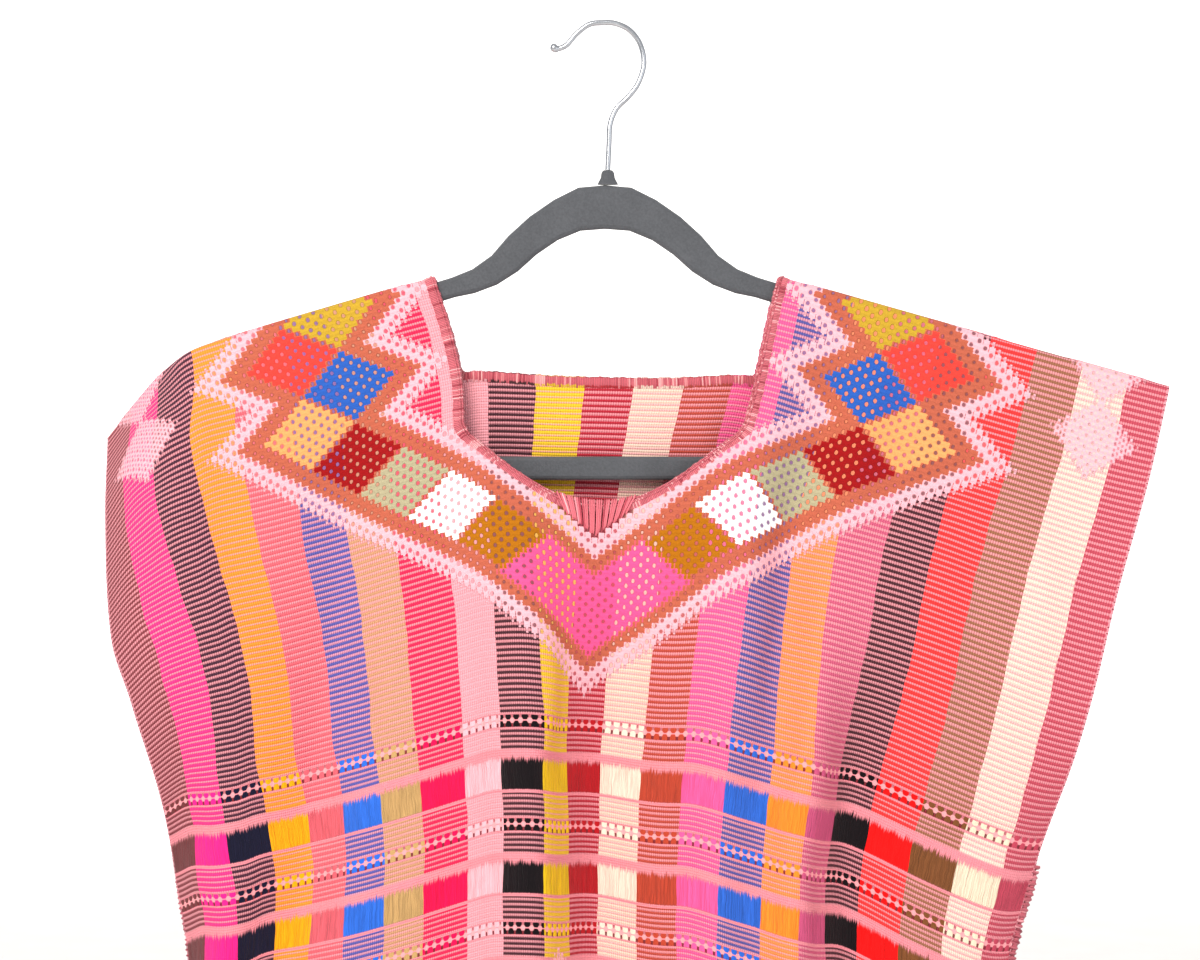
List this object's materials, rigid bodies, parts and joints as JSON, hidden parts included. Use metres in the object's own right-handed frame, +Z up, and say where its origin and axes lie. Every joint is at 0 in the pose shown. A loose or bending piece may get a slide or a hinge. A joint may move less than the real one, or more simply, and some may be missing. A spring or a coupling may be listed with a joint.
{
  "type": "huipil blouse on a hanger",
  "caption": "Striped handwoven huipil blouse with a brocaded V neckband and banded hem cloth, hanging flat in soft folds on a velvet hanger with a wire hook.",
  "frame": {"origin": "the inside top of the hanger's hook, where a rail carries it", "axes": "+Z up along the hanging length, +X to the right across the width of the front as a viewer sees it, +Y from the front of the blouse to its back"},
  "size_m": [0.5658, 0.0899, 0.8029],
  "materials": {
    "front_panel": "ribbed warp-striped cotton weave with brocade",
    "back_panel": "ribbed warp-striped cotton weave",
    "neck_edging_front": "satin-stitched thread",
    "neck_edging_back": "overcast thread",
    "neck_fan": "long straight stitches",
    "side_seam_left": "overcast thread",
    "side_seam_right": "overcast thread",
    "hanger_body": "grey flocked velvet over plastic",
    "hanger_collar": "grey flocked velvet over plastic",
    "hanger_hook": "polished wire"
  },
  "bodies": {
    "root": {"front_panel": "front_panel", "back_panel": "back_panel", "neck_edging_front": "neck_edging_front", "neck_edging_back": "neck_edging_back", "neck_fan": "neck_fan", "side_seam_left": "side_seam_left", "side_seam_right": "side_seam_right", "hanger_body": "hanger_body", "hanger_collar": "hanger_collar", "hanger_hook": "hanger_hook"}
  },
  "joints": []
}
